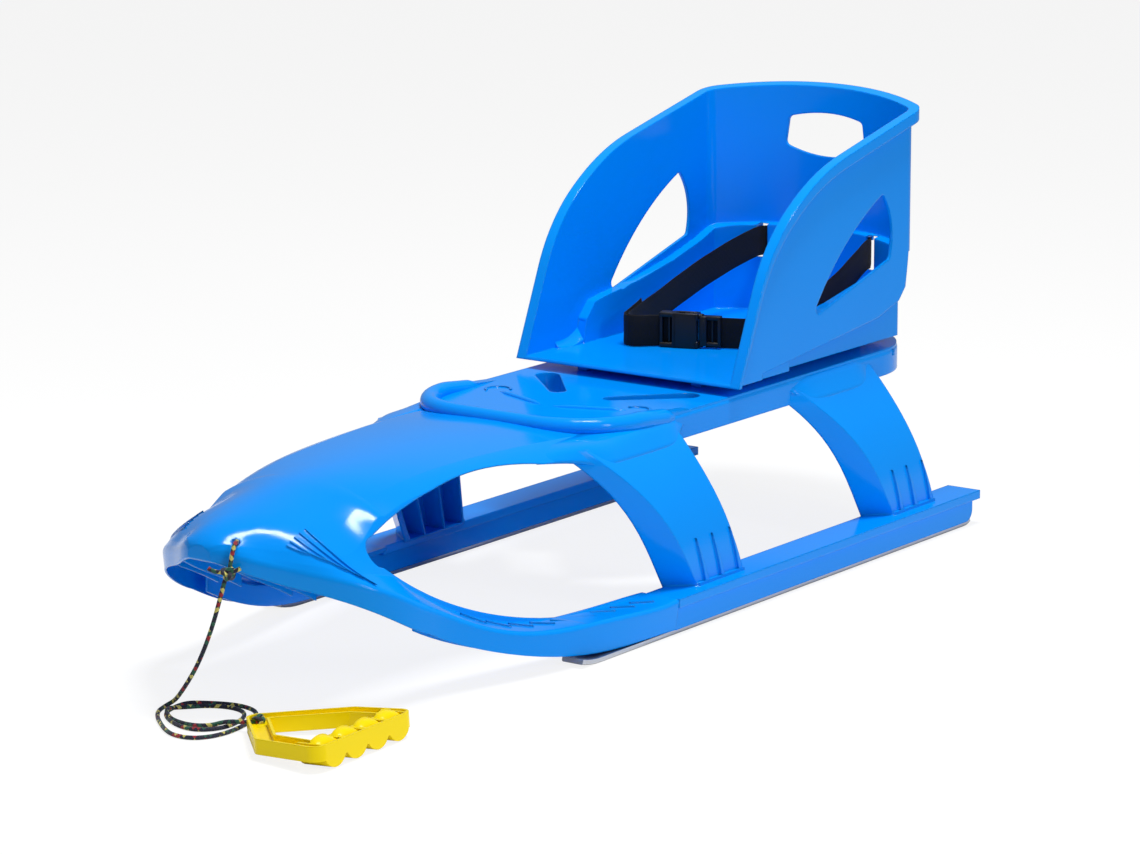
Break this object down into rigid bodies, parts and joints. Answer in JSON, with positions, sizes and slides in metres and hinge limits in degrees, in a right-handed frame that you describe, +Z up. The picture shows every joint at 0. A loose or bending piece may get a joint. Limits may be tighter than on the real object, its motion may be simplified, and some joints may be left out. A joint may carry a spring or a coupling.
{
  "type": "snow sled",
  "caption": "Moulded snow sled with swept rails, tapered open legs and narrow deck, steel runner strips, lift-off child seat with lap belt, and pull rope with hand grip.",
  "frame": {"origin": "centre of the bounding box on the floor, without the free rope and grip", "axes": "+Y towards the tail, so the nose points to -Y; +X is the sled's left side; +Z is up"},
  "size_m": [0.4064, 1.1347, 0.4519],
  "materials": {
    "blue": "moulded, satin gloss",
    "steel": "worn",
    "webbing": "woven",
    "buckle": "fine grain",
    "rope": "braided, flecked",
    "yellow": "moulded"
  },
  "bodies": {
    "sled": {"sled_body": "blue", "runner_strip_left": "steel", "runner_strip_right": "steel", "rope_loop": "rope", "rope_hanging": "rope", "rope_end": "rope", "rope_knot": "rope", "rope_coil": "rope", "pull_handle": "yellow"},
    "seat": {"seat_shell": "blue", "belt_right": "webbing", "belt_left": "webbing", "buckle_housing": "buckle", "buckle_tongue": "buckle"}
  },
  "joints": [
    {"name": "seat_lift", "type": "slide", "parent": "sled", "child": "seat", "axis": [0, 0, 1], "range_m": [0, 0.12]}
  ]
}
